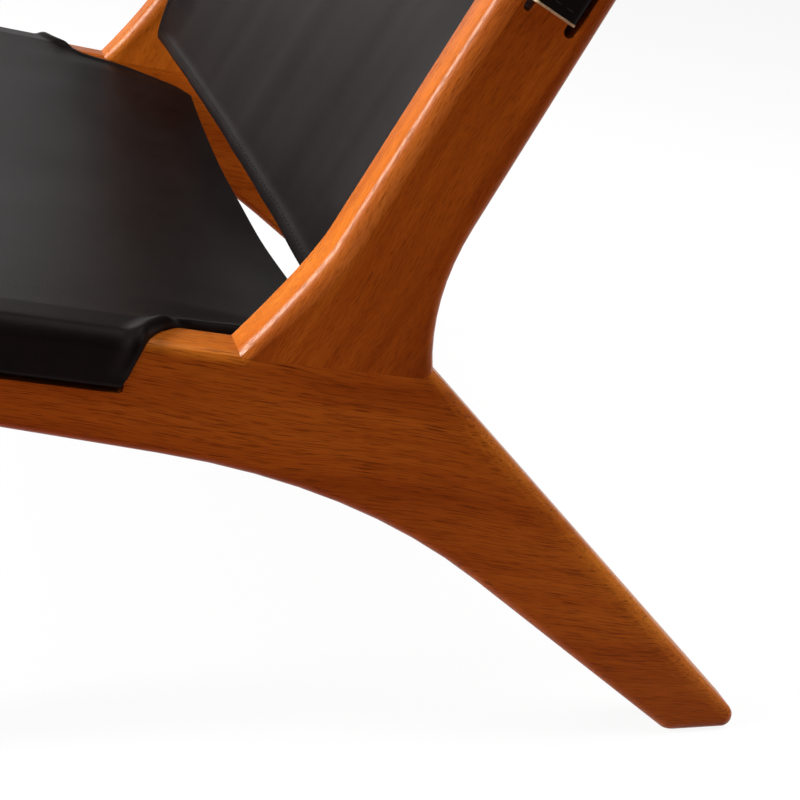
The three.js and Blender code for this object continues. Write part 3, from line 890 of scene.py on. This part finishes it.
def notch_rows(first, last, steps):
    """Rows between two notches, crowded at both ends."""
    rows = [first + step for step in NOTCH_STEPS]
    rows += between(first + NOTCH_BAND, last - NOTCH_BAND, steps)
    rows.append(last - NOTCH_BAND)
    return rows + [last - step for step in reversed(NOTCH_STEPS[1:])]


def seat_rows():
    """The rows of the seat's cut, from its rear edge to its front edge."""
    corner = corner_rows(SEAT_REAR, SEAT_REAR + PANEL_ROUND, CORNER_ROWS)
    rows = corner + between(SEAT_REAR + PANEL_ROUND, REAR_NOTCH, 14)
    rows += notch_rows(REAR_NOTCH, FRONT_NOTCH, 34)
    rows += between(FRONT_NOTCH, SEAT_FRONT - PANEL_ROUND, 7)
    rows.append(SEAT_FRONT - PANEL_ROUND)
    return rows + [SEAT_FRONT + SEAT_REAR - s for s in reversed(corner)]


def back_rows():
    """The rows of the back's cut, from its lower edge to its upper edge."""
    rows = [BACK_BOTTOM + step for step in CORNER_STEPS]
    rows += between(BACK_BOTTOM + PANEL_ROUND, STRAP_BOTTOM, 22)
    rows.append(STRAP_BOTTOM)
    rows += between(STRAP_BOTTOM + STRAP_RIM, STRAP_TOP - STRAP_RIM, 24)
    rows.append(STRAP_TOP - STRAP_RIM)
    rows += between(STRAP_TOP, BACK_TOP - PANEL_ROUND, 6)
    rows.append(BACK_TOP - PANEL_ROUND)
    return rows + [BACK_TOP - step for step in reversed(CORNER_STEPS)]


def seat_free_edge():
    """The seat's free side edges behind and before a wrap, and the wrap's own edges to the slot."""
    panel = SEAT_LINE.reach(PANEL)
    slot = SEAT_LINE.reach(OUTSIDE) + SEAT_SLOT_DROP
    edges = []
    for edge, away, notch, taper in SEAT_ENDS:
        line = []
        for i in range(1, CORNER_ROWS + 1):
            s = edge + away * PANEL_ROUND * (1 - math.cos(math.pi / 2 * i / CORNER_ROWS))
            line.append(Vector((half_width(s, panel, edge, away, notch, taper), s)))
        line.append(Vector((panel, notch)))
        for i in range(1, WRAP_EDGE_STEPS + 1):
            far = panel + (slot - panel) * (i / WRAP_EDGE_STEPS) ** 2
            line.append(Vector((far, notch + away * wrap_edge(far))))
        edges.append(line)
    return edges


def back_free_edge():
    """The back's lower and upper edges with their corners, up to the straps."""
    panel = BACK_LINE.reach(PANEL)
    edges = []
    for edge, away, strap, taper in BACK_ENDS:
        line = [Vector((0, edge))]
        for i in range(CORNER_ROWS + 1):
            angle = math.pi / 2 * i / CORNER_ROWS
            t = panel - taper - PANEL_ROUND * (1 - math.sin(angle))
            line.append(Vector((t, edge + away * PANEL_ROUND * (1 - math.cos(angle)))))
        line.append(Vector((panel, strap - away * TURN_STOPS)))
        edges.append(line)
    return edges


# Stitching

def stitch_line(points, bend):
    """The stitches along a line of the flat cut: place, direction and the leather's outer side."""
    travelled = 0.0
    want = STITCH_PITCH / 2
    for a, b in zip(points, points[1:]):
        a, b = Vector(a), Vector(b)
        length = (b - a).length
        while want < travelled + length:
            at = a.lerp(b, (want - travelled) / length)
            way = (b - a).normalized()
            here = bend(at.x, at.y)
            ahead = (bend(at.x + way.x * FEELER, at.y + way.y * FEELER) - here).normalized()
            right = bend(at.x + FEELER, at.y) - here
            forward = bend(at.x, at.y + FEELER) - here
            yield here, ahead, right.cross(forward).normalized()
            want += STITCH_PITCH
        travelled += length


def sew(name, rows, bend, thread):
    """All the stitches of one sling, as small rounded threads."""
    shape = bmesh.new()
    for row in rows:
        for here, ahead, out in stitch_line(row, bend):
            centre = here + out * (LEATHER / 2 + THREAD * 0.25)
            turn = Matrix((ahead, out.cross(ahead), out)).transposed().to_4x4()
            size = Matrix.Diagonal((STITCH_LENGTH / 2, THREAD, THREAD, 1))
            matrix = Matrix.Translation(centre) @ turn @ size
            bmesh.ops.create_uvsphere(shape, u_segments=8, v_segments=6, radius=1, matrix=matrix)
    bmesh.ops.recalc_face_normals(shape, faces=shape.faces)
    mesh = bpy.data.meshes.new(name)
    shape.to_mesh(mesh)
    shape.free()
    mesh.materials.append(thread)
    smooth_faces(mesh)
    return place_piece(name, mesh)


def both_sides(rows):
    """The rows of one side, and the same rows mirrored."""
    return rows + [[(-t, s) for t, s in row] for row in rows]


def end_stitches(edge, away, wide):
    """The row along one end of a panel and round its corner, wide being where the corner begins."""
    row = [(wide * i / END_STEPS, edge + away * STITCH_INSET) for i in range(END_STEPS + 1)]
    bow = PANEL_ROUND - STITCH_INSET
    for i in range(1, BOW_STEPS + 1):
        angle = math.pi / 2 * i / BOW_STEPS
        s = edge + away * (PANEL_ROUND - bow * math.cos(angle))
        row.append((wide + bow * math.sin(angle), s))
    return row


def seat_stitch_rows():
    """Round the seat's ends, along its sides and down the edges of the wraps."""
    panel = SEAT_LINE.reach(PANEL)
    slot = SEAT_LINE.reach(OUTSIDE) + SEAT_SLOT_DROP - STITCH_STOP
    rows = []
    for edge, away, notch, taper in SEAT_ENDS:
        row = end_stitches(edge, away, panel - taper - PANEL_ROUND)
        row.append((panel - STITCH_INSET, notch + away * STITCH_INSET * 0.5))
        for i in range(1, WRAP_STEPS + 1):
            far = panel + (slot - panel) * i / WRAP_STEPS
            inward = wrap_edge(far) + STITCH_INSET * 0.85
            row.append((far - STITCH_INSET * 0.55, notch + away * inward))
        rows.append(row)
    return both_sides(rows)


def back_stitch_rows():
    """Round the back's ends, along its sides and across the straps."""
    panel = BACK_LINE.reach(PANEL)
    face = BACK_LINE.reach(FACE_X - JUST_SHORT)
    strap_end = face + BACK_SLOT_REAR - BACK_SLOT_FRONT - 2 * BEND
    rows = []
    for edge, away, strap, taper in BACK_ENDS:
        row = end_stitches(edge, away, panel - taper - PANEL_ROUND)
        row.append((panel - STITCH_INSET, strap + away * STITCH_INSET))
        row.append((strap_end, strap + away * STITCH_INSET))
        rows.append(row)
    return both_sides(rows)


# The chair

SEAT_EDGE = seat_free_edge()
BACK_EDGE = back_free_edge()

hide = sling_leather()
dark_edge = cut_edge("burnished_edge", (0.010, 0.0085, 0.008, 1), (0.026, 0.021, 0.018, 1))
raw_edge = cut_edge("raw_edge", (0.34, 0.27, 0.15, 1), (0.58, 0.49, 0.31, 1))
thread = waxed_thread()

seat_wraps = (REAR_NOTCH, FRONT_NOTCH, 0)
seat_cut = FlatCut(SEAT_LINE, seat_rows(), seat_wraps, seat_place, seat_point)
seat_sling = seat_cut.finish("seat_sling", "seat_leather", hide, dark_edge, dark_edge)
seat_stitches = sew("seat_stitches", seat_stitch_rows(), seat_point, thread)

back_straps = (STRAP_BOTTOM, STRAP_TOP, STRAP_RIM)
back_cut = FlatCut(BACK_LINE, back_rows(), back_straps, back_place, back_point)
back_sling = back_cut.finish("back_sling", "back_leather", hide, dark_edge, raw_edge)
back_stitches = sew("back_stitches", back_stitch_rows(), back_point, thread)

# The guide line of a wider rounded edge, its width, the lengths over which it begins and ends,
# and where the board is cut across for it.
WIDE_ROUNDS = {
    "post": (RAIL_CORNER.yz, Vector((0.3050, 0.6975)), 0.0118, 0.060, 0.016, ()),
    "rail_leg": (
        Vector((0.1650, 0.2441)), Vector((0.3940, 0.0133)), 0.0135, 0.035, 0.050, (0.11, 0.84),
    ),
}

# Each board's way of grain and its place in the log, then its fleck, mark, painted light towards
# the rear (painted shade where negative) and shine.
BOARDS = {
    "post": ((POST_ANGLE, 0, 0), 0.31, (2.6, 0.50, -0.10, 0.7)),
    "rail_leg": ((-RAIL_SLOPE * 1.25, 0, 0), 0.83, (1.0, 0.70, 0.10, 0.0)),
    "front_leg": ((math.radians(88), 0, 0), 1.27, (1.0, 0.70, 0.10, 0.0)),
}
CROSSWISE = (0, 0, math.radians(90))

for side, shift in (("left", 0.0), ("right", 1.7)):
    for kind, (turn, seed, looks) in BOARDS.items():
        board = f"{kind}_{side}"
        move = (seed + shift, shift * 0.6 + seed, seed * 2)
        finish = frame_wood(f"{board}_wood", turn, move, *looks)
        glued_to = None if kind == "rail_leg" else f"rail_leg_{side}"
        dress_wood(board, f"{board}_shaped", finish, glued_to, WIDE_ROUNDS.get(kind))
for bar, seed in (("front_stretcher", 2.1), ("rear_stretcher", 2.9), ("crest_rail", 3.4)):
    finish = frame_wood(f"{bar}_wood", CROSSWISE, (seed, seed * 0.7, seed * 1.3))
    dress_wood(bar, f"{bar}_shaped", finish)

pale_wood = dowel_wood()
for node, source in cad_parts.items():
    if "dowel" in node or "rod" in node:
        source.data.materials.clear()
        source.data.materials.append(pale_wood)


# Camera, light and floor

# The camera that fits the photo, its turn being azimuth, elevation and roll in degrees.
CAMERA_PLACE = (1.10394, -0.10059, 0.56406)
CAMERA_TURN = (71.669, 23.085, 7.540)
CAMERA_LENS = 72.142
CAMERA_SENSOR = 36

# The floor as it is seen, with the share of its own white, and as it colours bounced light.
FLOOR_SIZE = 14
FLOOR_SEEN = 0.9
FLOOR_WHITE = 0.91
FLOOR_BOUNCE = (0.35, 0.135, 0.075, 1)

# The dim room that lights the chair and is mirrored in it.
ROOM_COLOUR = (1.0, 0.85, 0.80, 1)
ROOM_STRENGTH = 0.10

# Each lamp's place, the point that it is aimed at, its size and its power in watts.
LAMPS = {
    "front_box": ((-0.10, -1.75, 1.25), (0.0, 0.05, 0.30), (1.6, 1.2), 75),
    "edge_strip": ((0.48, -1.70, 1.05), (0.30, 0.10, 0.40), (0.11, 1.1), 40),
    "top_box": ((0.0, 0.70, 2.0), (0.0, 0.10, 0.20), (1.6, 1.6), 28),
    "far_box": ((-2.1, -0.20, 0.90), (0.0, -0.10, 0.28), (1.1, 0.8), 4.7),
    "rear_box": ((0.45, 1.90, 1.30), (0.30, 0.30, 0.15), (0.9, 0.9), 24),
}


def add_camera():
    """The camera of the photo's view."""
    azimuth, elevation, roll = (math.radians(angle) for angle in CAMERA_TURN)
    right = Vector((math.cos(azimuth), math.sin(azimuth), 0))
    back = Vector((
        math.sin(azimuth) * math.cos(elevation),
        -math.cos(azimuth) * math.cos(elevation),
        math.sin(elevation),
    ))
    up = back.cross(right)
    turned_right = right * math.cos(roll) + up * math.sin(roll)
    turned_up = up * math.cos(roll) - right * math.sin(roll)
    data = bpy.data.cameras.new("camera")
    data.sensor_width = CAMERA_SENSOR
    data.lens = CAMERA_LENS
    camera = bpy.data.objects.new("camera", data)
    turn = Matrix((turned_right, turned_up, back)).transposed().to_4x4()
    camera.matrix_world = Matrix.Translation(CAMERA_PLACE) @ turn
    bpy.context.scene.collection.objects.link(camera)
    bpy.context.scene.camera = camera


def add_softbox(name, place, aim, size, power):
    """A rectangular lamp aimed at a point."""
    data = bpy.data.lights.new(name, "AREA")
    data.shape = "RECTANGLE"
    data.size, data.size_y = size
    data.energy = power
    lamp = bpy.data.objects.new(name, data)
    lamp.location = place
    lamp.rotation_euler = (Vector(aim) - Vector(place)).to_track_quat("-Z", "Y").to_euler()
    bpy.context.scene.collection.objects.link(lamp)


def add_floor():
    """A white floor with the chair's soft shadow, which colours only the light it bounces."""
    shape = bmesh.new()
    bmesh.ops.create_grid(shape, x_segments=1, y_segments=1, size=FLOOR_SIZE)
    mesh = bpy.data.meshes.new("floor")
    shape.to_mesh(mesh)
    shape.free()
    floor = bpy.data.objects.new("floor", mesh)
    bpy.context.scene.collection.objects.link(floor)
    paper = Finish("pale_floor")
    seen = seen_directly(paper)
    colour = paper.mix(seen, FLOOR_BOUNCE, grey(FLOOR_SEEN))
    paper.set(base_color=colour, roughness=0.9, specular_ior_level=0.1)
    glow = paper.node("ShaderNodeEmission", None, {"Color": grey(1.0), "Strength": 1.0})
    shaded = Tone(paper, paper.surface.outputs[0])
    both = paper.node("ShaderNodeMixShader", None, {0: seen * FLOOR_WHITE, 1: shaded, 2: glow})
    paper.plug(paper.tree.nodes["Material Output"].inputs["Surface"], both)
    mesh.materials.append(paper.material)


def seen_directly(finish):
    """One for camera, glossy and transmission rays, nothing for the light that bounces about."""
    kinds = ("Is Camera Ray", "Is Glossy Ray", "Is Transmission Ray")
    rays = [finish.node("ShaderNodeLightPath", None, None, kind) for kind in kinds]
    seen = rays[0] + rays[1] + rays[2]
    return seen.math("MINIMUM", seen, 1.0)


def add_world():
    """A dim, warm room for the object, seen as a white backdrop by the camera."""
    world = bpy.data.worlds.new("studio")
    bpy.context.scene.world = world
    world.use_nodes = True
    tree = world.node_tree
    room = tree.nodes["Background"]
    room.inputs["Color"].default_value = ROOM_COLOUR
    room.inputs["Strength"].default_value = ROOM_STRENGTH
    backdrop = tree.nodes.new("ShaderNodeBackground")
    backdrop.inputs["Color"].default_value = grey(1.0)
    rays = tree.nodes.new("ShaderNodeLightPath")
    both = tree.nodes.new("ShaderNodeMixShader")
    tree.links.new(rays.outputs["Is Camera Ray"], both.inputs[0])
    tree.links.new(room.outputs[0], both.inputs[1])
    tree.links.new(backdrop.outputs[0], both.inputs[2])
    tree.links.new(both.outputs[0], tree.nodes["World Output"].inputs["Surface"])


add_camera()
add_floor()
add_world()
for name, lamp in LAMPS.items():
    add_softbox(name, *lamp)
bpy.context.scene.view_settings.view_transform = "Standard"
